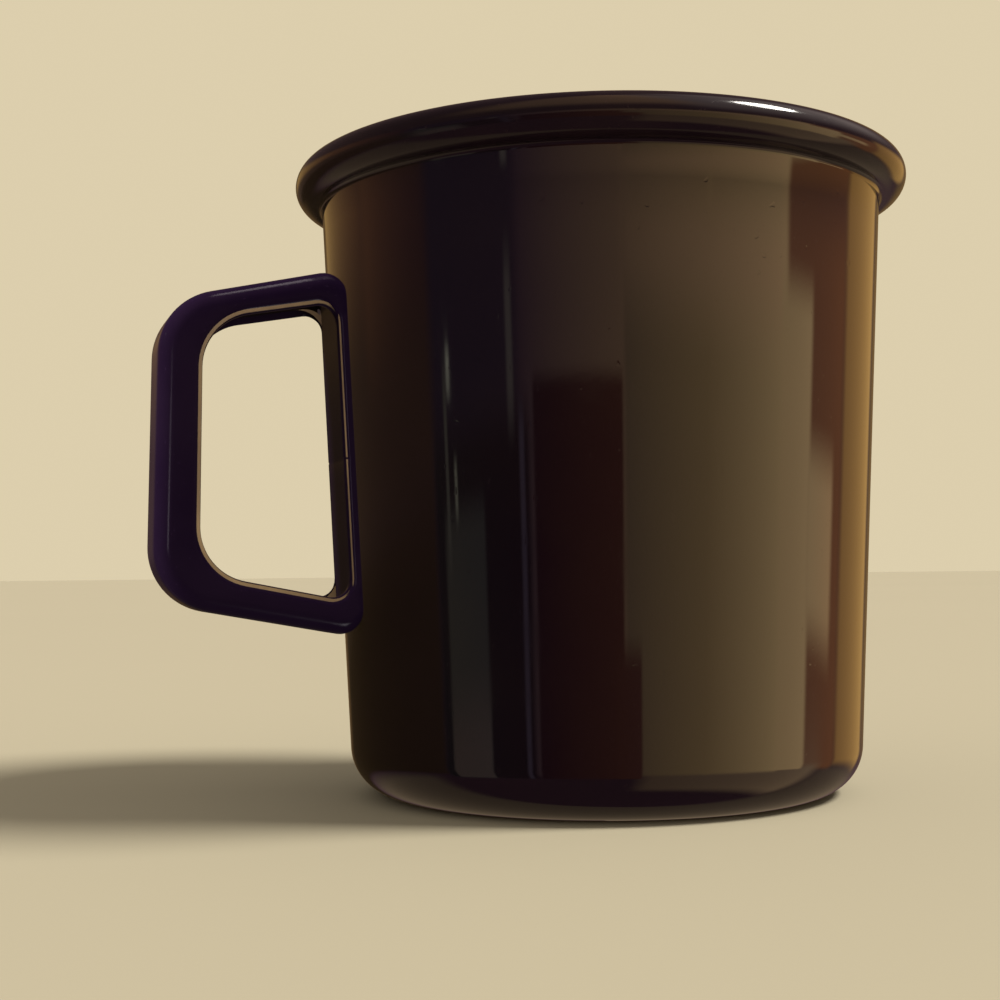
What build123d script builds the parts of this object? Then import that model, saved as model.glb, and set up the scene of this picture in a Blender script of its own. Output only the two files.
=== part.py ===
"""Enamelled steel mug: drawn cup, rolled rim, welded channel handle and fired enamel coats.

The origin is on the cup's axis at the plane that it stands on, +Z is up, and the handle
points along -X. Sizes are in millimetres.
"""
from build123d import *
from math import atan, cos, degrees, sin, sqrt
import os

# Cup, measured over the enamel
height = 91.5
rim_diameter = 90.0
bead_radius = 2.85
base_radius = 37.0
wall_radius_under_rim = 41.3
base_corner_radius = 7.2
panel_lift = 1.1
panel_radius = 25.5
panel_slope_width = 1.5
panel_bend_radius = 2.2
curl_end_angle = -110.0
crease_fillet = 0.7

# Sheet and coats
coat = 0.2
cup_steel = 0.5
handle_steel = 0.8
cup_wall = cup_steel + 2 * coat
handle_wall = handle_steel + 2 * coat

# Handle, a bent channel: the web is its outer face and the lips are its inner edges.
# Each outline has its two corners away from the wall and the heights of its roots on the wall.
handle_half_width = 6.0
web_corners = [(65.3, 69.2), (66.2, 28.4)]
web_root_heights = (74.5, 23.2)
web_corner_radius = 9.0
web_root_radius = 3.0
lip_corners = [(59.5, 66.4), (60.0, 32.4)]
lip_root_heights = (69.6, 28.3)
lip_corner_radius = 7.5
lip_root_radius = 2.4
web_edge_radius = 2.3
lip_edge_radius = 1.35
mouth_half_width = 4.3
strap_overlap = 0.05
tenon_depth = 3.0
tenon_margin = 3.5

# The strip's two ends meet in the middle of the back strap
seam_height = 48.0
seam_gap = 0.3

# Spot welds between the back strap and the cup
weld_radius = 1.75
weld_half_spacing = 2.8
weld_heights = {"upper_spot_welds": 65.0, "lower_spot_welds": 33.0}
weld_depth_in_strap = 0.5
weld_depth_in_cup = 0.35

# Worked out from the sizes above
bead_centre = Vector(rim_diameter / 2 - bead_radius, height - bead_radius)
wall_slope = (wall_radius_under_rim - base_radius) / bead_centre.Y
wall_lean = atan(wall_slope)
wall_up = Vector(sin(wall_lean), cos(wall_lean))
wall_out = Vector(cos(wall_lean), -sin(wall_lean))


def wall_radius(z, depth=0.0):
    """Radius of the straight wall at height z, at a depth below the outer enamel."""
    return base_radius + wall_slope * z - depth / cos(wall_lean)


# The wall's inner face runs into the bead along an arc that is level where the bead is highest
first_arc_radius = ((bead_centre.X - wall_radius(height, cup_wall)) * cos(wall_lean)
                    / (1 - sin(wall_lean)))
first_arc_centre = Vector(bead_centre.X, height - first_arc_radius)
bead_offset = (bead_centre - Vector(base_radius, 0)).dot(wall_out)


def wall_top(depth):
    """Point where the straight wall ends and the rim starts to curl, at a depth in the sheet."""
    return first_arc_centre - wall_out * (first_arc_radius - (cup_wall - depth))


def base_and_wall(depth, top):
    """Line from the axis over the floor and up the wall to a top point, at a depth in the sheet."""
    points = [
        (0, panel_lift + depth),
        (panel_radius, panel_lift + depth),
        (panel_radius + panel_slope_width, depth),
        (wall_radius(depth, depth), depth),
        (top.X, top.Y),
    ]
    radii = [panel_bend_radius + depth, panel_bend_radius - depth, base_corner_radius - depth]
    return FilletPolyline(*points, radius=radii)


def rim_curl(depth):
    """Arcs from the wall's top over the bead to the sheet's free edge, at a depth in the sheet."""
    inset = cup_wall - depth
    start = 180 - degrees(wall_lean)
    first = CenterArc(first_arc_centre, first_arc_radius - inset, start, 90 - start)
    second = CenterArc(bead_centre, bead_radius - inset, 90, curl_end_angle - 90)
    return [first, second]


def short_arc(centre, start, end):
    """The shorter arc about a centre from start to end."""
    middle = ((start + end) / 2 - centre).normalized() * (start - centre).length
    return ThreePointArc(start, centre + middle, end)


def turned(first, second):
    """Solid of revolution between two chains of lines, closed by a straight cut where they part."""
    ends = [(first[0] @ 0, second[0] @ 0), (first[-1] @ 1, second[-1] @ 1)]
    caps = [Line(a, b) for a, b in ends if (a - b).length > 1e-6]
    edges = [edge for line in first + second + caps for edge in line.edges()]
    return revolve(Plane.XZ * make_face(edges), Axis.Z, 360)


def sheet_layer(depth_a, depth_b):
    """Layer of the whole sheet, floor to curled edge, between two depths."""
    chains = [[base_and_wall(d, wall_top(d))] + rim_curl(d) for d in (depth_a, depth_b)]
    return turned(*chains)


def cup_coat_inside():
    """Enamel on the floor and the inner wall, up to the start of the rim."""
    chains = [[base_and_wall(d, wall_top(d))] for d in (cup_wall - coat, cup_wall)]
    return turned(*chains)


def rim_coat():
    """Enamel round the bead, from the inner wall to the curled edge."""
    return turned(rim_curl(cup_wall - coat), rim_curl(cup_wall))


def cup_coat_outside():
    """Enamel under the base and up the outer wall, with the fillet that seals the bead's edge."""
    reach = bead_radius + crease_fillet
    drop = sqrt(reach**2 - (bead_offset - crease_fillet) ** 2)
    centre = bead_centre - wall_out * (bead_offset - crease_fillet) - wall_up * drop
    on_wall = centre - wall_out * crease_fillet
    on_bead = centre + (bead_centre - centre) * (crease_fillet / reach)
    buried = bead_offset + coat
    behind = (bead_centre - wall_out * buried
              - wall_up * sqrt(bead_radius**2 - buried**2))
    crease = short_arc(centre, on_wall, on_bead)
    under_bead = short_arc(bead_centre, on_bead, behind)
    return turned([base_and_wall(0.0, on_wall), crease, under_bead], [base_and_wall(coat, behind)])


def at_wall(z, gap=0.0):
    """Point on the handle's plane at height z, gap outside the enamelled wall."""
    return (wall_radius(z) + gap, z)


def side_outline(corners, root_heights, gap, corner_radius, root_radius):
    """Closed outline of the handle's loop in its plane, rounded at its four corners."""
    roots = [at_wall(z, gap) for z in root_heights]
    radii = [root_radius, corner_radius, corner_radius, root_radius]
    line = FilletPolyline(roots[0], *corners, roots[1], radius=radii, close=True)
    return make_face(line.edges())


web_outline = side_outline(web_corners, web_root_heights, -coat, web_corner_radius, web_root_radius)
lip_outline = side_outline(lip_corners, lip_root_heights, handle_wall - coat - strap_overlap,
                           lip_corner_radius, lip_root_radius)


def shrunk(face, amount):
    """The outline moved inwards by amount, or outwards where amount is negative."""
    return offset(face, amount=-amount) if amount else face


def slab(face, half_width):
    """Plate of a side outline, centred on the handle's plane."""
    return extrude(Plane.XZ * face, half_width, both=True)


def rounded_slab(face, half_width, radius):
    """The same plate with its long edges rounded."""
    block = slab(face, half_width)
    return fillet(block.faces().filter_by(Axis.Y).edges(), radius)


def tenon(inset):
    """Block that squares the back strap's edges and runs into the wall, where the cup trims it."""
    low = web_root_heights[1] + tenon_margin
    high = web_root_heights[0] - tenon_margin
    front = handle_wall - coat - inset
    corners = [at_wall(high, front), at_wall(high, -tenon_depth),
               at_wall(low, -tenon_depth), at_wall(low, front)]
    return slab(make_face(Polyline(*corners, close=True).edges()), handle_half_width - inset)


def loop(inset):
    """Bent channel with every face moved in by inset, before the cup trims its back."""
    wall = handle_wall - 2 * inset
    half_width = handle_half_width - inset
    solid = rounded_slab(shrunk(web_outline, inset), half_width, web_edge_radius - inset)
    solid += tenon(inset)
    eye = slab(shrunk(lip_outline, -inset), half_width + 1)
    solid -= eye
    inner = shrunk(web_outline, inset + wall)
    hollow = rounded_slab(inner, half_width - wall, web_edge_radius - inset - wall)
    hollow -= slab(shrunk(lip_outline, -inset - wall), half_width)
    return solid - hollow - slab(inner, mouth_half_width + inset)


def cup_body(depth):
    """Solid of everything inside the cup's wall, at a depth in the sheet."""
    low, high = -5.0, height
    radii = [wall_radius(z, depth) for z in (low, high)]
    return Pos(0, 0, (low + high) / 2) * Cone(radii[0], radii[1], high - low)


def handle_solid(inset):
    """Handle at its place, with its back fitted to the cup's steel."""
    return Rot(0, 0, 180) * loop(inset) - cup_body(coat)


def spot_welds(z):
    """Pair of weld nuggets side by side at height z."""
    surface = wall_radius(z, coat)
    length = weld_depth_in_strap + weld_depth_in_cup
    middle = surface + (weld_depth_in_strap - weld_depth_in_cup) / 2
    disc = Rot(0, 90, 0) * Cylinder(weld_radius, length)
    return [Pos(-middle, side * weld_half_spacing, z) * disc for side in (-1, 1)]


if __name__ == "__main__":
    os.makedirs("parts", exist_ok=True)
    welds = {name: spot_welds(z) for name, z in weld_heights.items()}
    nuggets = [nugget for pair in welds.values() for nugget in pair]
    seam = Pos(-wall_radius(seam_height), 0, seam_height) * Box(8, 20, seam_gap)

    handle_outer = handle_solid(0.0)
    strip = handle_solid(coat) - seam
    cup = sheet_layer(coat, coat + cup_steel)
    for nugget in nuggets:
        cup -= nugget
        strip -= nugget
    handle_coat = handle_outer - strip
    for nugget in nuggets:
        handle_coat -= nugget

    nodes = {
        "cup_shell": cup,
        "outer_enamel": cup_coat_outside() - handle_outer,
        "inner_enamel": cup_coat_inside(),
        "rim_enamel": rim_coat(),
        "handle_strip": strip,
        "handle_enamel": handle_coat,
    }
    for name, pair in welds.items():
        nodes[name] = Compound(children=pair)
    for name, shape in nodes.items():
        export_step(shape, f"parts/{name}.step")
        print(name, len(shape.solids()), round(shape.volume, 1))
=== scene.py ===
"""Looks of an enamelled steel mug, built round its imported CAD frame.

The cup's enamel is turned from drawn outlines, the handle is a channel bridged from one outline
to the next, and every finish is procedural. All of it is in metres, in the CAD frame: +Z up, the
base on the floor and the handle along -X.
"""
import logging
import math
from dataclasses import dataclass, field
from enum import Enum

import bpy
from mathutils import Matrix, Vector


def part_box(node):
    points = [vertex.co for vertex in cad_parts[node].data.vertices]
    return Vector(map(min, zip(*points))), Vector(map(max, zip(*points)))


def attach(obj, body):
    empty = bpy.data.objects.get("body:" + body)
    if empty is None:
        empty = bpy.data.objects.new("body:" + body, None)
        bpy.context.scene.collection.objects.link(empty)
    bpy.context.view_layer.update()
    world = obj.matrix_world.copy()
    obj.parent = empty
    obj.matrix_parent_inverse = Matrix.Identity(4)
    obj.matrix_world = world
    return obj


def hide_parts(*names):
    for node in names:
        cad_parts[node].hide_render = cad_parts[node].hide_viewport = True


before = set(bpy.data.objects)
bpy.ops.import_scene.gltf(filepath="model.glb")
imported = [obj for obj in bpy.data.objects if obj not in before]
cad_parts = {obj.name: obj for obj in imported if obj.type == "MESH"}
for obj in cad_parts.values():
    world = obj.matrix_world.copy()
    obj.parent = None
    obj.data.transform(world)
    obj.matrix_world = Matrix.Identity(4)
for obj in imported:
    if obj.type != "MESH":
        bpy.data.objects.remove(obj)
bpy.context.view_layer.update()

MM = 0.001
TAU = 2 * math.pi
QUARTER = math.pi / 2
BODY = "root"
STEEL_STRIP = "handle_strip"
log = logging.getLogger("mug")

Point = tuple[float, float]
Colour = tuple[float, float, float]


# ---------------------------------------------------------------- drawing in edit mode


@dataclass(frozen=True)
class Corner:
    """One corner of an outline, with the radius of its rounding and how finely it is drawn."""

    at: Point
    radius: float = 0.0
    steps: int = 8
    run_steps: int = 1


@dataclass(frozen=True)
class Arc:
    """A round stretch of an outline: centre, turn in radians (positive turns left), and steps."""

    centre: Point
    turn: float
    steps: int


def unit(a: Point, b: Point) -> Point:
    """Direction from a to b."""
    length = math.dist(a, b)
    return ((b[0] - a[0]) / length, (b[1] - a[1]) / length)


def rounding(before: Point, corner: Corner, after: Point) -> tuple[Point, Arc]:
    """Rounds one corner of an outline.

    Args:
        before: the point that the outline comes from.
        corner: the corner to round.
        after: the point that it goes on to.

    Returns:
        Where the rounding starts, and its arc.
    """
    come, go = unit(before, corner.at), unit(corner.at, after)
    cross = come[0] * go[1] - come[1] * go[0]
    turn = math.atan2(cross, come[0] * go[0] + come[1] * go[1])
    back = corner.radius * math.tan(abs(turn) / 2)
    start = (corner.at[0] - come[0] * back, corner.at[1] - come[1] * back)
    side = math.copysign(corner.radius, turn)
    centre = (start[0] - come[1] * side, start[1] + come[0] * side)
    return start, Arc(centre, turn, corner.steps)


class Pen:
    """Draws a chain of edges in the plane of X and Z, by extruding and spinning one vertex."""

    def __init__(self, name: str, start: Point, y: float = 0.0) -> None:
        """Puts the pen's first vertex down.

        Args:
            name: name of the drawn object.
            start: where the chain starts.
            y: place of the plane that it is drawn in.
        """
        bpy.ops.object.select_all(action="DESELECT")
        bpy.ops.mesh.primitive_plane_add(size=MM, location=(0, 0, 0))
        self.thing = bpy.context.active_object
        self.thing.name = self.thing.data.name = name
        bpy.ops.object.mode_set(mode="EDIT")
        bpy.ops.mesh.merge(type="CENTER")
        self.y = y
        self.at: Point = (0.0, 0.0)
        self._move("translate", start)
        bpy.ops.transform.translate(value=(0, y, 0))

    def _move(self, how: str, to: Point) -> None:
        """Carries the selected vertex to a point.

        Args:
            how: "extrude" leaves a line behind it, and "translate" doesn't.
            to: the point.
        """
        step = (to[0] - self.at[0], 0, to[1] - self.at[1])
        if how == "extrude":
            bpy.ops.mesh.extrude_region_move(TRANSFORM_OT_translate={"value": step})
        else:
            bpy.ops.transform.translate(value=step)
        self.at = to

    def line(self, to: Point, steps: int = 1) -> "Pen":
        """Draws a straight run in equal steps.

        Args:
            to: where it ends.
            steps: how many steps it takes.

        Returns:
            The pen, to go on with.
        """
        start = self.at
        for k in range(1, steps + 1):
            part = k / steps
            self._move("extrude", tuple(a + (b - a) * part for a, b in zip(start, to)))
        return self

    def arc(self, arc: Arc) -> "Pen":
        """Draws a round stretch by spinning the pen's vertex about its centre.

        Args:
            arc: the stretch to draw.

        Returns:
            The pen, to go on with.
        """
        x, z = self.at[0] - arc.centre[0], self.at[1] - arc.centre[1]
        c, s = math.cos(arc.turn), math.sin(arc.turn)
        bpy.ops.mesh.spin(steps=arc.steps, angle=arc.turn, axis=(0, 1, 0),
                          center=(arc.centre[0], self.y, arc.centre[1]))
        self.at = (arc.centre[0] + c * x - s * z, arc.centre[1] + s * x + c * z)
        return self

    def path(self, corners: list[Corner], end: Point, run_steps: int = 1) -> "Pen":
        """Draws rounded corners one after another and a last straight run.

        Args:
            corners: the corners to pass.
            end: where the last run ends.
            run_steps: steps of that last run.

        Returns:
            The pen, to go on with.
        """
        stops = [c.at for c in corners] + [end]
        before = self.at
        for corner, after in zip(corners, stops[1:]):
            if corner.radius:
                start, arc = rounding(before, corner, after)
                self.line(start, corner.run_steps).arc(arc)
            else:
                self.line(corner.at, corner.run_steps)
            before = corner.at
        return self.line(end, run_steps)

    def done(self) -> bpy.types.Object:
        """Leaves edit mode and hands over the drawn object."""
        bpy.ops.object.mode_set(mode="OBJECT")
        return self.thing


def only(thing: bpy.types.Object) -> None:
    """Selects one object and makes it the active one.

    Args:
        thing: the object.
    """
    bpy.ops.object.select_all(action="DESELECT")
    thing.select_set(True)
    bpy.context.view_layer.objects.active = thing


def smooth(thing: bpy.types.Object, angle: float = 35.0) -> None:
    """Shades an object smooth, apart from its sharp edges.

    Args:
        thing: the object.
        angle: turn in degrees past which an edge stays sharp.
    """
    only(thing)
    bpy.ops.object.shade_smooth_by_angle(angle=math.radians(angle))


def turn_round(thing: bpy.types.Object, steps: int) -> bpy.types.Object:
    """Spins a drawn outline once round the cup's axis into a closed skin, facing outwards.

    Args:
        thing: the drawn outline.
        steps: how many steps the turn takes.

    Returns:
        The same object, now a skin.
    """
    only(thing)
    bpy.ops.object.mode_set(mode="EDIT")
    bpy.ops.mesh.select_all(action="SELECT")
    bpy.ops.mesh.spin(steps=steps, angle=TAU, center=(0, 0, 0), axis=(0, 0, 1))
    bpy.ops.mesh.select_all(action="SELECT")
    bpy.ops.mesh.remove_doubles(threshold=0.002 * MM)
    bpy.ops.mesh.normals_make_consistent(inside=False)
    bpy.ops.object.mode_set(mode="OBJECT")
    smooth(thing)
    return thing


# ---------------------------------------------------------------- the cup


@dataclass
class Cup:
    """The cup's enamel: one coat outside, one inside and one round the bead.

    Every outline is drawn at a depth in the sheet, measured from the outer enamel. The steps of
    its round stretches are fine where it is seen and few where it is hidden.
    """

    base_radius: float = 37.0 * MM
    wall_radius_under_rim: float = 41.3 * MM
    base_corner_radius: float = 7.2 * MM
    panel_lift: float = 1.1 * MM
    panel_radius: float = 25.5 * MM
    panel_slope_width: float = 1.5 * MM
    panel_bend_radius: float = 2.2 * MM
    coat: float = 0.2 * MM
    sheet: float = 0.9 * MM
    curl_end: float = math.radians(-110)
    crease_fillet: float = 0.7 * MM
    around: int = 288
    fine: int = 10
    hidden: int = 3
    first_steps: int = 14
    bead_steps: int = 44
    buried_steps: int = 4
    fillet_steps: int = 8
    rim: Vector = field(default_factory=lambda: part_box("rim_enamel")[1])
    bead_radius: float = field(
        default_factory=lambda: (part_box("rim_enamel")[1].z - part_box("rim_enamel")[0].z) / 2)

    def __post_init__(self) -> None:
        """Works out the bead's centre and the wall's lean."""
        self.bead: Point = (self.rim.y - self.bead_radius, self.rim.z - self.bead_radius)
        self.slope = (self.wall_radius_under_rim - self.base_radius) / self.bead[1]
        self.lean = math.atan(self.slope)
        self.out: Point = (math.cos(self.lean), -math.sin(self.lean))
        self.first_radius = ((self.bead[0] - self.wall(self.rim.z, self.sheet))
                             * math.cos(self.lean) / (1 - math.sin(self.lean)))

    def wall(self, z: float, depth: float = 0.0) -> float:
        """Radius of the straight wall at a height z and a depth in the sheet."""
        return self.base_radius + self.slope * z - depth / math.cos(self.lean)

    def curl_start(self, depth: float) -> Point:
        """Where the straight wall ends and the rim's curl starts, at a depth in the sheet."""
        r = self.first_radius - (self.sheet - depth)
        return (self.bead[0] - self.out[0] * r, self.rim.z - self.first_radius - self.out[1] * r)

    def base_corners(self, depth: float, steps: int) -> list[Corner]:
        """Corners of the line from the axis to the foot of the wall.

        Args:
            depth: how deep in the sheet the line lies.
            steps: how finely its tightest bends are drawn.

        Returns:
            The two bends of the raised panel and the cup's drawn corner.
        """
        bend, edge = self.panel_bend_radius, self.panel_radius
        return [
            Corner((edge, self.panel_lift + depth), bend + depth, steps, 2 * steps),
            Corner((edge + self.panel_slope_width, depth), bend - depth, steps),
            Corner((self.wall(depth, depth), depth), self.base_corner_radius - depth,
                   3 * steps, steps),
        ]

    def curl(self, depth: float) -> list[Arc]:
        """The two arcs of the rim, from the wall's top to the sheet's free edge."""
        top = self.rim.z - self.first_radius
        return [Arc((self.bead[0], top), self.lean - QUARTER, self.first_steps),
                Arc(self.bead, self.curl_end - QUARTER, self.bead_steps)]

    def inner_coat(self) -> bpy.types.Object:
        """Enamel on the floor and inner wall, drawn up its hidden side and down its face.

        Returns:
            The coat, a closed skin.
        """
        face, back = self.sheet, self.sheet - self.coat
        pen = Pen("inner_coat", (0.0, self.panel_lift + back))
        pen.path(self.base_corners(back, self.hidden), self.curl_start(back))
        pen.line(self.curl_start(face))
        self.down_to_axis(pen, face)
        return turn_round(pen.done(), self.around)

    def down_to_axis(self, pen: Pen, depth: float) -> None:
        """Draws the wall and floor finely, from the pen's place back to the axis.

        Args:
            pen: the pen, at the top of the wall.
            depth: how deep in the sheet they lie.
        """
        corners = self.base_corners(depth, self.fine)
        back = [Corner(c.at, c.radius, c.steps, 2 * self.fine) for c in reversed(corners)]
        pen.path(back, (0.0, self.panel_lift + depth), 2 * self.fine)

    def outer_coat(self) -> bpy.types.Object:
        """Enamel under the base and up the wall, with the fillet that closes the bead's crease.

        Returns:
            The coat, a closed skin.
        """
        fillet, reach = self.crease_fillet, self.bead_radius + self.crease_fillet
        across = ((self.bead[0] - self.base_radius) * self.out[0] + self.bead[1] * self.out[1])
        up = (-self.out[1], self.out[0])
        drop = math.sqrt(reach ** 2 - (across - fillet) ** 2)
        centre = tuple(b - o * (across - fillet) - u * drop
                       for b, o, u in zip(self.bead, self.out, up))
        on_wall = tuple(c - o * fillet for c, o in zip(centre, self.out))
        buried = across + self.coat
        behind = tuple(b - o * buried - u * math.sqrt(self.bead_radius ** 2 - buried ** 2)
                       for b, o, u in zip(self.bead, self.out, up))
        to_bead = math.atan2(self.bead[1] - centre[1], self.bead[0] - centre[0])
        to_wall = math.atan2(on_wall[1] - centre[1], on_wall[0] - centre[0])
        from_bead = to_bead + math.pi
        to_behind = math.atan2(behind[1] - self.bead[1], behind[0] - self.bead[0])

        pen = Pen("outer_coat", (0.0, self.panel_lift + self.coat))
        pen.path(self.base_corners(self.coat, self.hidden), behind)
        pen.arc(Arc(self.bead, wrapped(from_bead - to_behind), self.buried_steps))
        pen.arc(Arc(centre, wrapped(to_wall - to_bead), self.fillet_steps))
        self.down_to_axis(pen, 0.0)
        return turn_round(pen.done(), self.around)

    def rim_coat(self) -> bpy.types.Object:
        """Enamel round the bead, over the rolled edge.

        Returns:
            The coat, a closed ring.
        """
        face, back = self.sheet, self.sheet - self.coat
        pen = Pen("rim_coat", self.curl_start(face))
        for arc in self.curl(face):
            pen.arc(arc)
        end = (self.bead[0] + (self.bead_radius - self.coat) * math.cos(self.curl_end),
               self.bead[1] + (self.bead_radius - self.coat) * math.sin(self.curl_end))
        pen.line(end)
        for arc in reversed(self.curl(back)):
            pen.arc(Arc(arc.centre, -arc.turn, arc.steps // 2))
        pen.line(self.curl_start(face))
        return turn_round(pen.done(), self.around)


def wrapped(angle: float) -> float:
    """The same turn between minus and plus half a circle."""
    return (angle + math.pi) % TAU - math.pi


# ---------------------------------------------------------------- the handle


class Edge(Enum):
    """Which of the handle's two outlines a track follows on the limbs and the grip."""

    WEB = "outer edge of the loop"
    LIP = "edge of the finger opening"


@dataclass(frozen=True)
class Track:
    """One line along the handle, at a place across the channel.

    Attributes:
        edge: the outline that it follows.
        into_metal: how far it lies from that outline, towards the metal.
        across: its distance from the handle's middle plane.
        strap_gap: how far it stands off the cup's wall along the back strap.
    """

    edge: Edge
    into_metal: float
    across: float
    strap_gap: float


@dataclass
class Handle:
    """The handle: a channel with a rounded web, rolled lips and a flat back strap."""

    cup: Cup
    half_width: float = 6.0 * MM
    web_corners: tuple[Point, Point] = ((65.3 * MM, 69.2 * MM), (66.2 * MM, 28.4 * MM))
    web_roots: tuple[float, float] = (74.5 * MM, 23.2 * MM)
    web_radii: tuple[float, float] = (3.0 * MM, 9.0 * MM)
    lip_corners: tuple[Point, Point] = ((59.5 * MM, 66.4 * MM), (60.0 * MM, 32.4 * MM))
    lip_roots: tuple[float, float] = (69.6 * MM, 28.3 * MM)
    lip_radii: tuple[float, float] = (2.4 * MM, 7.5 * MM)
    web_edge: float = 2.3 * MM
    lip_edge: float = 1.35 * MM
    metal: float = 1.2 * MM
    hollow_edge: float = 0.9 * MM
    mouth: float = 4.3 * MM
    mouth_edge: float = 0.25 * MM
    strap_front: float = 0.95 * MM
    strap_back: float = -0.55 * MM
    strap_edge_ratio: float = 0.6
    seam_height: float = 48.0 * MM
    seam_half_width: float = 0.3 * MM
    seam_depth: float = 0.07 * MM
    round_steps: int = 8
    strap_steps: int = 4
    limb_steps: int = 10
    grip_steps: int = 7
    merge: float = 0.005 * MM
    sharp: float = 50.0

    def at_wall(self, z: float, gap: float, across: float = 0.0) -> Point:
        """Point at a height z, a gap outside the cup's wall and across from the middle plane."""
        return (math.sqrt(self.cup.wall(z) ** 2 - across ** 2) + gap, z)

    def corners(self, track: Track) -> list[Point]:
        """Four corners of a track before rounding.

        Args:
            track: the track to work out.

        Returns:
            The top root, the top and bottom corners of the grip and the bottom root.
        """
        if track.edge is Edge.WEB:
            points, roots = self.web_corners, self.web_roots
            root_gap, shift = -self.cup.coat, track.into_metal
        else:
            points, roots = self.lip_corners, self.lip_roots
            root_gap, shift = self.strap_front, -track.into_metal
        loop = [self.at_wall(roots[0], root_gap), *points, self.at_wall(roots[1], root_gap)]
        sides = []
        for a, b in zip(loop, loop[1:]):
            way = unit(a, b)
            sides.append(((a[0] + way[1] * shift, a[1] - way[0] * shift), way))
        on_cup = track.strap_gap == self.strap_back
        foot = self.at_wall(0.0, track.strap_gap, track.across if on_cup else 0.0)
        sides.append((foot, unit((0.0, 0.0), (self.cup.slope, 1.0))))
        return [meet(sides[k - 1], sides[k]) for k in range(4)]

    def half_line(self, track: Track, upper: bool) -> bpy.types.Object:
        """Draws half of a track, from the strap's seam round to the middle of the grip.

        Args:
            track: the track to draw.
            upper: whether it is the half over the top limb.

        Returns:
            The drawn chain of edges, with the handle turned to -X.
        """
        corners = self.corners(track)
        if track.edge is Edge.LIP:
            root, outer = (r + track.into_metal for r in self.lip_radii)
        else:
            root, outer = self.web_radii[0], self.web_radii[1] - track.into_metal
        grip = tuple((a + b) / 2 for a, b in zip(corners[1], corners[2]))
        if not upper:
            corners.reverse()
        side = 1 if upper else -1
        seam = self.at_wall(self.seam_height, track.strap_gap - self.seam_depth)
        lip = self.at_wall(self.seam_height + side * self.seam_half_width, track.strap_gap)
        flipped = [(-x, z) for x, z in (seam, lip, corners[0], corners[1], grip)]
        pen = Pen("track", flipped[0], track.across)
        pen.line(flipped[1])
        rounds = [Corner(flipped[2], root, self.round_steps, self.strap_steps),
                  Corner(flipped[3], outer, 2 * self.round_steps, self.limb_steps)]
        pen.path(rounds, flipped[4], self.grip_steps)
        return pen.done()

    def half_section(self) -> list[Track]:
        """Lays tracks across half the channel.

        Returns:
            The tracks, from the middle of the web round the lip to the hollow's floor.
        """
        quarter = [QUARTER * k / self.round_steps for k in range(self.round_steps + 1)]
        flat = self.half_width - self.web_edge
        web = [Track(Edge.WEB, 0.0, flat * part, self.strap_back) for part in (0.0, 0.5)]
        web += [Track(Edge.WEB, self.web_edge * (1 - math.cos(a)),
                      flat + self.web_edge * math.sin(a), self.strap_back) for a in quarter]
        lip = []
        for a in quarter:
            into = self.lip_edge * (1 - math.sin(a))
            lip.append(Track(Edge.LIP, into, self.half_width - self.lip_edge * (1 - math.cos(a)),
                             self.strap_front - self.strap_edge_ratio * into))
        inside = self.half_width - self.metal
        front = self.strap_front
        cut = 0.3 * self.mouth_edge
        mouth = [
            Track(Edge.LIP, cut, self.mouth + cut, front),
            Track(Edge.LIP, self.mouth_edge, self.mouth, front),
            Track(Edge.LIP, self.metal - self.mouth_edge, self.mouth, front),
            Track(Edge.LIP, self.metal, inside, front),
        ]
        floor = inside - self.hollow_edge
        hollow = [Track(Edge.WEB, self.metal + self.hollow_edge * (1 - math.cos(a)),
                        floor + self.hollow_edge * math.sin(a), front)
                  for a in reversed(quarter[::2])]
        hollow.append(Track(Edge.WEB, self.metal, 0.0, front))
        return web + lip + mouth + hollow

    def bridged(self, upper: bool) -> bpy.types.Object:
        """Draws one half of every track and bridges each to the one before.

        Args:
            upper: whether it is the half over the top limb.

        Returns:
            The skin of one quarter of the handle.
        """
        tracks = self.half_section()
        skin = self.half_line(tracks[0], upper)
        count = len(skin.data.vertices)
        for track in tracks[1:]:
            line = self.half_line(track, upper)
            only(skin)
            line.select_set(True)
            bpy.ops.object.join()
            chosen = range(len(skin.data.vertices) - 2 * count, len(skin.data.vertices))
            for vertex in skin.data.vertices:
                vertex.select = vertex.index in chosen
            bpy.ops.object.mode_set(mode="EDIT")
            bpy.ops.mesh.select_mode(type="VERT")
            bpy.ops.mesh.bridge_edge_loops()
            bpy.ops.mesh.select_all(action="DESELECT")
            bpy.ops.object.mode_set(mode="OBJECT")
        return skin

    def build(self) -> bpy.types.Object:
        """Joins the upper and lower halves and mirrors them across the middle plane.

        Returns:
            The handle's skin, closed.
        """
        handle, lower = self.bridged(True), self.bridged(False)
        only(handle)
        lower.select_set(True)
        bpy.ops.object.join()
        handle.name = handle.data.name = "handle_coat"
        bpy.ops.object.mode_set(mode="EDIT")
        bpy.ops.mesh.select_all(action="SELECT")
        bpy.ops.mesh.remove_doubles(threshold=self.merge)
        bpy.ops.object.mode_set(mode="OBJECT")
        mirror = handle.modifiers.new("other_side", "MIRROR")
        mirror.use_axis = (False, True, False)
        mirror.merge_threshold = 2 * self.merge
        bpy.ops.object.modifier_apply(modifier=mirror.name)
        bpy.ops.object.mode_set(mode="EDIT")
        bpy.ops.mesh.select_all(action="SELECT")
        bpy.ops.mesh.normals_make_consistent(inside=False)
        bpy.ops.object.mode_set(mode="OBJECT")
        smooth(handle, self.sharp)
        return handle


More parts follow.
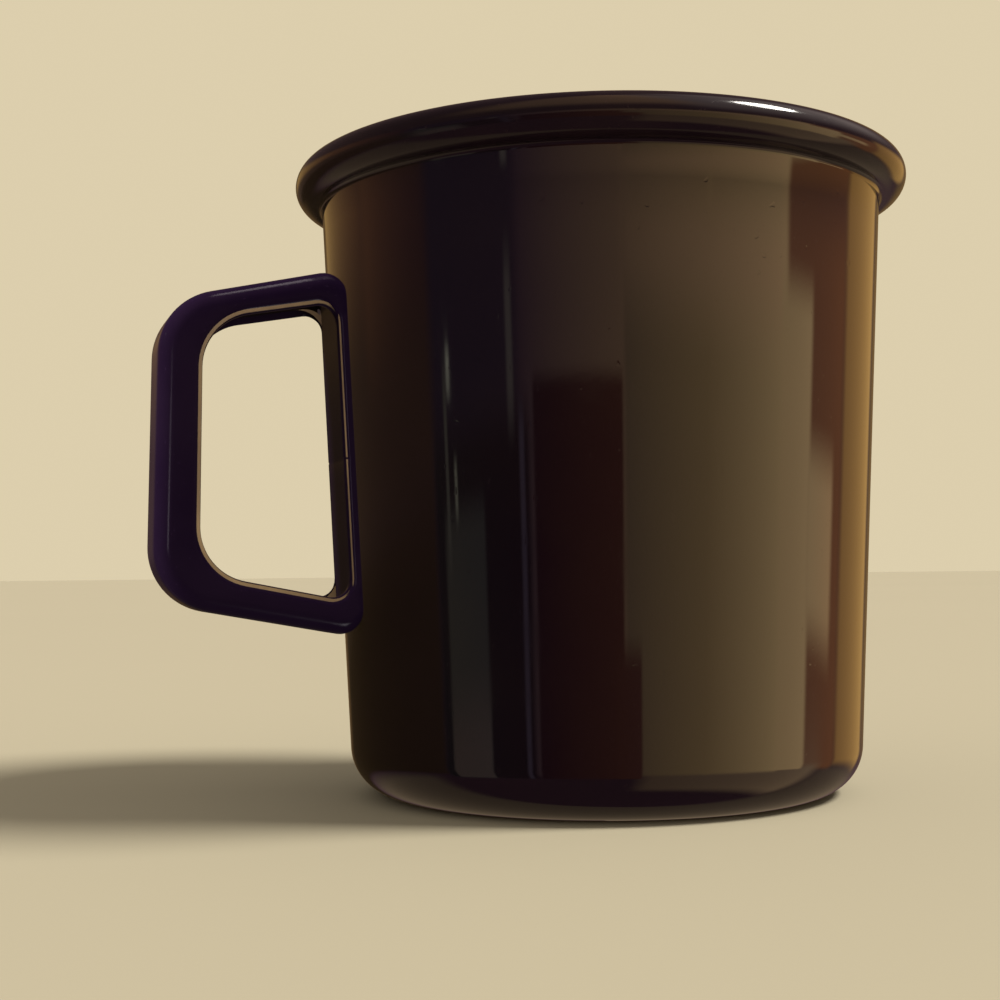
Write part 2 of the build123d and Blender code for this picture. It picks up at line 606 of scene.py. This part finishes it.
def meet(first: tuple[Point, Point], second: tuple[Point, Point]) -> Point:
    """Where two lines cross.

    Args:
        first: a point on one line, and its direction.
        second: the same for the other.

    Returns:
        The crossing.
    """
    (p, d), (q, e) = first, second
    t = ((q[0] - p[0]) * e[1] - (q[1] - p[1]) * e[0]) / (d[0] * e[1] - d[1] * e[0])
    return (p[0] + d[0] * t, p[1] + d[1] * t)


# ---------------------------------------------------------------- finishes


class Wire:
    """A node's output that can be used in arithmetic, which adds Math nodes."""

    def __init__(self, bench: "Bench", socket: bpy.types.NodeSocket | None) -> None:
        """Wraps a socket that belongs to a bench's node tree, or none for a last node."""
        self.bench = bench
        self.socket = socket

    def maths(self, operation: str, *values: "Wire | float") -> "Wire":
        """One Math node on the given values."""
        return self.bench.node("ShaderNodeMath", {"operation": operation}, dict(enumerate(values)))

    def __add__(self, other: "Wire | float") -> "Wire":
        """Sum."""
        return self.maths("ADD", self, other)

    def __radd__(self, other: float) -> "Wire":
        """Sum with a number in front."""
        return self.maths("ADD", other, self)

    def __sub__(self, other: "Wire | float") -> "Wire":
        """Difference."""
        return self.maths("SUBTRACT", self, other)

    def __rsub__(self, other: float) -> "Wire":
        """Difference from a number in front."""
        return self.maths("SUBTRACT", other, self)

    def __mul__(self, other: "Wire | float") -> "Wire":
        """Product."""
        return self.maths("MULTIPLY", self, other)

    def __rmul__(self, other: float) -> "Wire":
        """Product with a number in front."""
        return self.maths("MULTIPLY", other, self)

    def step(self, low: float, high: float) -> "Wire":
        """Rises smoothly from 0 to 1, or falls where low is the larger.

        Args:
            low: the value where it is 0.
            high: the value where it is 1.

        Returns:
            The step's value.
        """
        return self.bench.node("ShaderNodeMapRange", {"interpolation_type": "SMOOTHSTEP"},
                               {"Value": self, "From Min": low, "From Max": high})


class Bench:
    """A node tree that finishes and lights are wired up on."""

    def __init__(self, tree: bpy.types.NodeTree) -> None:
        """Clears a node tree and takes it over."""
        tree.nodes.clear()
        self.tree = tree

    def node(self, kind: str, settings: dict | None = None, sockets: dict | None = None,
             out: str | int = 0) -> Wire:
        """Adds one node.

        Args:
            kind: the node's type.
            settings: its properties, which are set first.
            sockets: values or links of its inputs, by name or number.
            out: the output to hand on.

        Returns:
            That output.
        """
        node = self.tree.nodes.new(kind)
        for name, value in (settings or {}).items():
            setattr(node, name, value)
        for name, value in (sockets or {}).items():
            if isinstance(value, Wire):
                self.tree.links.new(value.socket, node.inputs[name])
            else:
                node.inputs[name].default_value = value
        return Wire(self, node.outputs[out] if node.outputs else None)

    def mix(self, factor: Wire | float, a: Wire | Colour, b: Wire | Colour) -> Wire:
        """Mixes two colours.

        Args:
            factor: how much of the second one there is.
            a: the colour where the factor is 0.
            b: the colour where it is 1.

        Returns:
            The mixed colour.
        """
        colours = [c if isinstance(c, Wire) else (*c, 1.0) for c in (a, b)]
        return self.node("ShaderNodeMix", {"data_type": "RGBA"},
                         {0: factor, 6: colours[0], 7: colours[1]}, out=2)

    def place(self) -> Wire:
        """Position on the object, in metres."""
        return self.node("ShaderNodeTexCoord", out="Object")

    def parts(self, vector: Wire) -> list[Wire]:
        """The X, Y and Z of a vector."""
        node = self.node("ShaderNodeSeparateXYZ", sockets={0: vector}).socket.node
        return [Wire(self, output) for output in node.outputs]

    def noise(self, where: Wire, size: float, detail: float = 2.0, roughness: float = 0.5,
              stretch: tuple[float, float, float] = (1.0, 1.0, 1.0)) -> Wire:
        """Cloudy noise from 0 to 1.

        Args:
            where: the position that it is read at.
            size: how large its features are, in metres.
            detail: how many finer layers are added.
            roughness: how strong those layers are.
            stretch: scale of the pattern along each axis.

        Returns:
            The noise value.
        """
        scaled = self.node("ShaderNodeMapping", {"vector_type": "POINT"},
                           {"Vector": where, "Scale": stretch})
        return self.node("ShaderNodeTexNoise", {"noise_dimensions": "3D"},
                         {"Vector": scaled, "Scale": 1 / size, "Detail": detail,
                          "Roughness": roughness})

    def bump(self, height: Wire, depth: float, onto: Wire | None = None) -> Wire:
        """Raises a surface by a bump.

        Args:
            height: the bump's height, from 0 to 1.
            depth: what a height of 1 is, in metres.
            onto: the normal that it is added to, where there is one already.

        Returns:
            The new normal.
        """
        sockets = {"Strength": 1.0, "Distance": depth, "Height": height}
        if onto is not None:
            sockets["Normal"] = onto
        return self.node("ShaderNodeBump", sockets=sockets)

    def surface(self, **sockets: Wire | float | Colour) -> None:
        """Ends a material in one Principled shader.

        Args:
            sockets: its inputs, named in small letters with underscores.
        """
        named = {name.replace("_", " ").title().replace("Ior", "IOR"): value
                 for name, value in sockets.items()}
        for name, value in named.items():
            if isinstance(value, tuple):
                named[name] = (*value, 1.0)
        shader = self.node("ShaderNodeBsdfPrincipled", sockets=named)
        self.node("ShaderNodeOutputMaterial", sockets={"Surface": shader})


def bench_for(name: str) -> tuple[bpy.types.Material, Bench]:
    """Starts a material.

    Args:
        name: its name.

    Returns:
        The new material, and the bench for its nodes.
    """
    material = bpy.data.materials.new(name)
    material.use_nodes = True
    return material, Bench(material.node_tree)


@dataclass(frozen=True)
class Enamel:
    """Fired glass enamel: deep, glossy and very slightly uneven.

    Attributes:
        name: the material's name.
        colour: its colour where it lies thick.
        thin: its warmer colour where it lies thinner.
        bared: its colour where the foot has rubbed through.
        gloss: roughness of the clean glaze.
        smudge: roughness added where hands and cloths have dulled it.
        cloud_size: size of the patches where it lies thinner.
        speck_size: size of its pale specks.
        pit_size: size of its pits, which are as deep as pit_depth.
        hand_size: size of a hand's smudges, and wipe_size of the marks of a cloth in them.
        wave: height of the broad unevenness of the pressed sheet under it, wave_size across.
        peel: height of the fine ripple of the fired surface, peel_size across.
        worn_below: height under which the foot has rubbed on tables, in spots of worn_size.
        shine: strength of its mirror-like reflection, where 0.5 is clear glass.
    """

    name: str
    colour: Colour
    thin: Colour
    bared: Colour = (0.055, 0.045, 0.038)
    gloss: float = 0.035
    smudge: float = 0.07
    cloud_size: float = 14 * MM
    speck_size: float = 0.45 * MM
    pit_size: float = 1.1 * MM
    pit_depth: float = 0.004 * MM
    hand_size: float = 22 * MM
    wipe_size: float = 3.0 * MM
    wave: float = 0.04 * MM
    wave_size: float = 26 * MM
    peel: float = 0.0006 * MM
    peel_size: float = 0.9 * MM
    worn_below: float = 0.35 * MM
    worn_size: float = 0.6 * MM
    shine: float = 0.5

    def material(self) -> bpy.types.Material:
        """Wires the finish up.

        Returns:
            Its material.
        """
        material, b = bench_for(self.name)
        where = b.place()
        clouds = b.noise(where, self.cloud_size, 3.0).step(0.35, 0.7)
        specks = b.noise(where, self.speck_size, 1.0).step(0.71, 0.78)
        pits = b.noise(where, self.pit_size, 0.0).step(0.79, 0.86)
        hands = b.noise(where, self.hand_size, 4.0, 0.6).step(0.45, 0.72)
        wipes = b.noise(where, self.wipe_size, 3.0, 0.6, (1.0, 1.0, 0.12)).step(0.5, 0.8)
        foot = b.parts(where)[2].step(self.worn_below, 0.0)
        rubbed = foot * b.noise(where, self.worn_size, 3.0, 0.7).step(0.35, 0.65)

        pale = tuple(2.5 * c for c in self.thin)
        colour = b.mix(clouds * 0.6, self.colour, self.thin)
        colour = b.mix(specks * 0.35, colour, pale)
        colour = b.mix(rubbed * 0.7, colour, self.bared)
        rough = self.gloss + self.smudge * hands + 0.05 * (wipes * hands) + 0.12 * specks
        rough = rough + 0.35 * rubbed
        wave = b.noise(where, self.wave_size, 1.0, 0.4)
        peel = b.noise(where, self.peel_size, 1.0, 0.5)
        normal = b.bump(wave, self.wave)
        normal = b.bump(peel, self.peel, normal)
        normal = b.bump(1 - pits, self.pit_depth, normal)
        b.surface(base_color=colour, roughness=rough, normal=normal, ior=1.5,
                  specular_ior_level=self.shine)
        return material


@dataclass(frozen=True)
class PressedSteel:
    """Bare low-carbon sheet under the enamel, with its rolling marks and dull stains."""

    name: str
    bright: Colour = (0.42, 0.41, 0.40)
    dull: Colour = (0.24, 0.23, 0.225)
    grain_size: float = 0.5 * MM
    grain_depth: float = 0.004 * MM
    stain_size: float = 9 * MM

    def material(self) -> bpy.types.Material:
        """Wires the finish up.

        Returns:
            Its material.
        """
        material, b = bench_for(self.name)
        where = b.place()
        grain = b.noise(where, self.grain_size, 4.0, 0.6, (1.0, 1.0, 0.06))
        stain = b.noise(where, self.stain_size, 3.0).step(0.35, 0.7)
        colour = b.mix(grain, self.dull, self.bright)
        colour = b.mix(stain * 0.5, colour, self.dull)
        normal = b.bump(grain, self.grain_depth)
        b.surface(base_color=colour, metallic=1.0, roughness=0.3 + 0.2 * grain + 0.1 * stain,
                  normal=normal)
        return material


@dataclass(frozen=True)
class WeldNugget:
    """Steel melted and set again at a spot weld, blued by the heat."""

    name: str
    steel: Colour = (0.38, 0.37, 0.36)
    blued: Colour = (0.10, 0.12, 0.19)
    tint_size: float = 1.5 * MM
    crust_size: float = 0.25 * MM
    crust_depth: float = 0.03 * MM

    def material(self) -> bpy.types.Material:
        """Wires the finish up.

        Returns:
            Its material.
        """
        material, b = bench_for(self.name)
        where = b.place()
        tint = b.noise(where, self.tint_size, 3.0)
        crust = b.noise(where, self.crust_size, 3.0, 0.7)
        colour = b.mix(tint.step(0.35, 0.65), self.steel, self.blued)
        normal = b.bump(crust, self.crust_depth)
        b.surface(base_color=colour, metallic=1.0, roughness=0.35 + 0.25 * crust, normal=normal)
        return material


@dataclass(frozen=True)
class PaleFloor:
    """Plain matt floor in a pale warm tone, with barely visible unevenness."""

    name: str
    colour: Colour
    patch_size: float = 0.6

    def material(self) -> bpy.types.Material:
        """Wires the finish up.

        Returns:
            Its material.
        """
        material, b = bench_for(self.name)
        tone = b.noise(b.place(), self.patch_size, 2.0)
        darker = tuple(0.97 * c for c in self.colour)
        colour = b.mix(tone, self.colour, darker)
        b.surface(base_color=colour, roughness=0.9, specular_ior_level=0.1)
        return material


def dress(piece: bpy.types.Object, material: bpy.types.Material) -> None:
    """Gives a piece one material all over.

    Args:
        piece: the piece.
        material: its finish.
    """
    piece.data.materials.clear()
    piece.data.materials.append(material)


# ---------------------------------------------------------------- studio


@dataclass(frozen=True)
class Panel:
    """A card or soft box far round the mug, given as a camera operator would.

    Attributes:
        across: from and to, in degrees right of the line from the mug to the camera.
        height: from and to, in degrees over the horizon.
        light: its colour and brightness at its left edge.
        right: the same at its right edge, where that differs.
        soft: how wide its sides and its ends fade, in degrees.
    """

    across: tuple[float, float]
    height: tuple[float, float]
    light: Colour
    right: Colour | None = None
    soft: Point = (1.5, 1.5)

    def mask(self, across: Wire, height: Wire) -> Wire:
        """Marks where the panel is.

        Args:
            across: direction round the mug, in degrees.
            height: direction over the horizon, in degrees.

        Returns:
            1 on the panel and 0 off it.
        """
        parts = []
        spans = ((across, self.across, self.soft[0]), (height, self.height, self.soft[1]))
        for angle, (low, high), soft in spans:
            parts.append(angle.step(low - soft, low + soft))
            parts.append(angle.step(high + soft, high - soft))
        return parts[0] * parts[1] * parts[2] * parts[3]

    def over(self, bench: Bench, light: Wire | Colour, across: Wire, height: Wire) -> Wire:
        """Lays the panel over the light that is there without it.

        Args:
            bench: the world's node tree.
            light: the light without the panel.
            across: direction round the mug, in degrees.
            height: direction over the horizon, in degrees.

        Returns:
            The light with the panel.
        """
        colour = self.light
        if self.right is not None:
            part = bench.node("ShaderNodeMapRange", {"interpolation_type": "LINEAR"},
                              {"Value": across, "From Min": self.across[0],
                               "From Max": self.across[1]})
            colour = bench.mix(part, self.light, self.right)
        return bench.mix(self.mask(across, height), light, colour)


@dataclass(frozen=True)
class Lamp:
    """A far, soft lamp.

    Attributes:
        name: its name.
        strength: its irradiance.
        stands: degrees right of the camera and degrees over the horizon.
        spread: how wide it looks, in degrees.
        colour: its colour.
        only_on: the one piece that it lights, where it doesn't light everything.
        shows: whether glossy surfaces mirror it.
    """

    name: str
    strength: float
    stands: Point
    spread: float
    colour: Colour
    only_on: str | None = None
    shows: bool = True

    def hang(self, facing: float) -> None:
        """Hangs the lamp.

        Args:
            facing: angle round +Z from +X to the camera, in radians.
        """
        turn = facing + math.radians(self.stands[0])
        rise = math.radians(self.stands[1])
        towards = Vector((math.cos(turn) * math.cos(rise), math.sin(turn) * math.cos(rise),
                          math.sin(rise)))
        light = bpy.data.lights.new(self.name, "SUN")
        light.energy = self.strength
        light.color = self.colour
        light.angle = math.radians(self.spread)
        lamp = bpy.data.objects.new(self.name, light)
        lamp.rotation_euler = towards.to_track_quat("Z", "Y").to_euler()
        lamp.visible_glossy = self.shows
        bpy.context.scene.collection.objects.link(lamp)
        if self.only_on:
            lit = bpy.data.collections.new(f"{self.name}_lights")
            lit.objects.link(bpy.data.objects[self.only_on])
            lamp.light_linking.receiver_collection = lit
            lamp.light_linking.blocker_collection = lit


@dataclass(frozen=True)
class Studio:
    """Floor, lamps, surrounding panels and camera.

    Attributes:
        floor_size: side of the floor.
        floor_colour: its colour.
        backdrop: the pale wall behind, which only the camera sees.
        ambient: the even light that falls on matt surfaces.
        surround: what the glaze mirrors where there is no panel.
        lamps: the key lamp, and the soft lamps that pick out the handle.
        eye: where the camera stands.
        aim: its turns about X, Y and Z, in degrees.
        lens: its focal length in millimetres.
        panels: what the glaze mirrors, each laid over the ones before.
    """

    floor_size: float = 40.0
    floor_colour: Colour = (0.50, 0.455, 0.335)
    backdrop: Colour = (0.72, 0.62, 0.42)
    ambient: Colour = (0.45, 0.41, 0.36)
    surround: Colour = (0.12, 0.075, 0.07)
    lamps: tuple[Lamp, ...] = (
        Lamp("key", 3.4, (90, 52), 17, (1.0, 0.95, 0.86)),
        Lamp("handle_side", 13.5, (-72, 26), 20, (1.0, 0.95, 0.98), "handle_coat", False),
        Lamp("handle_crease", 0.85, (-2, 3), 9, (1.0, 0.88, 1.0), "handle_coat"),
        Lamp("handle_top", 7.5, (73, 78), 26, (1.0, 0.88, 0.90), "handle_coat"),
        Lamp("handle_under", 2.8, (44, -49), 16, (1.0, 0.95, 1.0), "handle_coat"),
    )
    eye: tuple[float, float, float] = (-88.915 * MM, -220.072 * MM, 31.897 * MM)
    aim: tuple[float, float, float] = (92.648, 0.570, -18.326)
    lens: float = 57.27
    panels: tuple[Panel, ...] = (
        # below the horizon all round, and the dim room on the left
        Panel((-200, 200), (-100, -10), (0.10, 0.05, 0.07), None, (1, 5)),
        Panel((-210, -82), (-100, -24), (0.30, 0.22, 0.14), None, (8, 6)),
        Panel((108, 210), (-100, -16), (0.30, 0.22, 0.14), None, (8, 6)),
        Panel((-182, -70), (-20, -1), (0.03, 0.02, 0.012), (0.09, 0.055, 0.015), (4, 2)),
        Panel((-182, -70), (-2, 9), (0.12, 0.08, 0.05), (0.15, 0.08, 0.04), (4, 3)),
        Panel((-182, -111), (8, 18), (0.62, 0.42, 0.13), (0.40, 0.18, 0.08), (4, 4)),
        Panel((-111, -70), (6, 18), (0.40, 0.18, 0.08), (0.13, 0.055, 0.06), (4, 4)),
        Panel((-72, -31), (-24, 16), (0.06, 0.05, 0.09), (0.08, 0.06, 0.10), (3, 3)),
        # a plain stretch by the camera, warm lights at the far right and the ceiling's glow
        Panel((-33, 12), (-18, 9.8), (0.17, 0.10, 0.15), (0.85, 0.53, 0.29), (3, 3.2)),
        Panel((118, 152), (-14, 14), (1.15, 0.60, 0.17), (1.00, 0.58, 0.18), (3, 4)),
        Panel((154, 184), (-8, 30), (0.25, 0.15, 0.06), None, (3, 5)),
        Panel((-184, -156), (-8, 30), (0.25, 0.15, 0.06), (0.12, 0.07, 0.03), (3, 5)),
        Panel((78, 118), (-18, 10), (1.00, 0.42, 0.17), (0.75, 0.29, 0.10), (3, 3)),
        Panel((16, 106), (-48, -12), (0.50, 0.33, 0.19), (1.10, 0.75, 0.42), (6, 6)),
        Panel((-60, 70), (38, 100), (0.55, 0.34, 0.18), (1.30, 0.80, 0.42), (20, 12)),
        Panel((40, 140), (26, 78), (0.80, 0.66, 0.60), None, (14, 12)),
        # the broad pale wall on the right, a little brighter high up, with its stepped far edge
        Panel((10, 45), (-18, 9.8), (0.55, 0.38, 0.20), (1.24, 0.83, 0.34), (1.5, 3.2)),
        Panel((43, 80), (-18, 9.8), (1.20, 0.80, 0.33), (2.55, 1.75, 0.78), (1.5, 3.2)),
        Panel((9, 80), (4.6, 8.2), (0.95, 0.58, 0.32), (2.75, 1.72, 0.82), (2.5, 2.6)),
        Panel((78, 95), (-17, 6.2), (2.55, 1.72, 0.78), (2.60, 1.75, 0.82), (1.5, 1.2)),
        Panel((94, 111), (-5.6, 0.8), (2.50, 1.70, 0.80), (2.20, 1.35, 0.62), (1.8, 1.4)),
        # the dark figure in front of it
        Panel((-27, 9), (-24, 1.7), (0.05, 0.010, 0.020), (0.24, 0.075, 0.030), (0.8, 0.5)),
        Panel((6, 16), (-24, -8.3), (0.24, 0.075, 0.030), (0.28, 0.095, 0.050), (0.8, 0.8)),
        # a doorway on the left: its dark gap, its pale leaf and its bright edges
        Panel((-72, -29), (-24, 0.5), (0.02, 0.035, 0.03), (0.01, 0.01, 0.02), (1.5, 1.5)),
        Panel((-68, -49), (-24, -2.5), (0.19, 0.20, 0.15), (0.16, 0.18, 0.16), (1, 1)),
        Panel((-68, -49), (-24, -9.5), (0.33, 0.25, 0.20), (0.35, 0.28, 0.24), (1, 2)),
        Panel((-66.6, -65.2), (-4, 2.8), (0.32, 0.32, 0.25), None, (0.5, 1)),
        Panel((-64.8, -63.2), (2.0, 3.5), (1.60, 1.60, 1.25), None, (0.5, 0.4)),
        Panel((-62.4, -61.2), (-2.6, -0.6), (0.80, 0.80, 0.60), None, (0.5, 0.5)),
        Panel((-37.5, -35), (0.5, 6), (0.40, 0.36, 0.32), None, (0.8, 1.5)),
        Panel((-33, -31), (-24, 0.5), (0.22, 0.18, 0.27), None, (0.7, 1)),
    )

    def build(self) -> None:
        """Sets the floor, the lights and the camera."""
        self.lay_floor()
        for lamp in self.lamps:
            lamp.hang(self.facing())
        self.surround_with_panels()
        self.stand_camera()
        log.info("studio: floor, %d lamps, %d panels and camera", len(self.lamps),
                 len(self.panels))

    def facing(self) -> float:
        """Angle round +Z from +X to the camera, in radians."""
        return math.atan2(self.eye[1], self.eye[0])

    def lay_floor(self) -> None:
        """Pale floor under the mug, which the glaze doesn't mirror."""
        bpy.ops.object.select_all(action="DESELECT")
        bpy.ops.mesh.primitive_plane_add(size=self.floor_size)
        floor = bpy.context.active_object
        floor.name = floor.data.name = "floor"
        floor.visible_glossy = False
        dress(floor, PaleFloor("pale_floor", self.floor_colour).material())

    def surround_with_panels(self) -> None:
        """Panels that light the mug and show in its glaze, behind a plain pale backdrop."""
        world = bpy.data.worlds.new("studio")
        world.use_nodes = True
        bpy.context.scene.world = world
        b = Bench(world.node_tree)
        x, y, z = b.parts(b.node("ShaderNodeTexCoord", out="Generated"))
        degrees = 180 / math.pi
        turn = x.maths("ARCTAN2", y, x) * degrees - math.degrees(self.facing())
        across = x.maths("WRAP", turn, 180.0, -180.0)
        height = x.maths("ARCSINE", z) * degrees
        light = self.surround
        for panel in self.panels:
            light = panel.over(b, light, across, height)
        mirrored = b.node("ShaderNodeLightPath", out="Is Glossy Ray")
        light = b.mix(mirrored, self.ambient, light)
        seen = b.node("ShaderNodeLightPath", out="Is Camera Ray")
        light = b.mix(seen, light, self.backdrop)
        glow = b.node("ShaderNodeBackground", sockets={"Color": light, "Strength": 1.0})
        b.node("ShaderNodeOutputWorld", sockets={"Surface": glow})

    def stand_camera(self) -> None:
        """Camera at about a third of the mug's height, turned from its side view."""
        lens = bpy.data.cameras.new("camera")
        lens.lens = self.lens
        lens.clip_start = 10 * MM
        camera = bpy.data.objects.new("camera", lens)
        camera.location = self.eye
        camera.rotation_euler = [math.radians(a) for a in self.aim]
        bpy.context.scene.collection.objects.link(camera)
        bpy.context.scene.camera = camera
        bpy.context.scene.view_settings.view_transform = "Standard"


# ---------------------------------------------------------------- the whole mug


@dataclass
class Mug:
    """The whole mug: its enamel coats, built new, and its steel, carried over from the CAD."""

    cup: Cup = field(default_factory=Cup)
    outer: Enamel = Enamel("outer_enamel", (0.0085, 0.0044, 0.0080), (0.011, 0.0060, 0.0085))
    inner: Enamel = Enamel("inner_enamel", (0.0090, 0.0050, 0.0082), (0.012, 0.0068, 0.0090))
    rim: Enamel = Enamel("rim_enamel", (0.0095, 0.0050, 0.0090), (0.015, 0.0080, 0.0100),
                         gloss=0.10, wave=0.01 * MM, shine=0.36)
    # the handle's enamel is the cup's dark enamel, painted darker and more violet: painted shade
    # and a painted cool reflection
    handle: Enamel = Enamel("handle_enamel", (0.0040, 0.0018, 0.0060), (0.0060, 0.0031, 0.0078),
                            gloss=0.14, smudge=0.08, wave=0.008 * MM, shine=0.012)

    def build(self) -> None:
        """Builds and dresses every piece, and hides the CAD node that each stands in for."""
        handle = Handle(self.cup)
        coats = ((self.cup.outer_coat, "outer_enamel", self.outer),
                 (self.cup.inner_coat, "inner_enamel", self.inner),
                 (self.cup.rim_coat, "rim_enamel", self.rim),
                 (handle.build, "handle_enamel", self.handle))
        for build, node, finish in coats:
            piece = build()
            dress(piece, finish.material())
            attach(piece, BODY)
            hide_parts(node)
            # the glaze mirrors the room, but not the handle
            piece.visible_glossy = finish is not self.handle
            log.info("%s: %d faces", piece.name, len(piece.data.polygons))
        self.dress_steel()

    def dress_steel(self) -> None:
        """Finishes the steel that the enamel covers."""
        steel = PressedSteel("pressed_steel").material()
        weld = WeldNugget("weld_nugget").material()
        finishes = {"cup_shell": steel, STEEL_STRIP: steel,
                    "upper_spot_welds": weld, "lower_spot_welds": weld}
        for name, material in finishes.items():
            dress(bpy.data.objects[name], material)
            log.info("%s: %s", name, material.name)
        bpy.data.objects[STEEL_STRIP].visible_glossy = False


def main() -> None:
    """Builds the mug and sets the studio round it."""
    logging.basicConfig(level=logging.INFO, format="%(message)s")
    Mug().build()
    Studio().build()


if __name__ == "__main__":
    main()
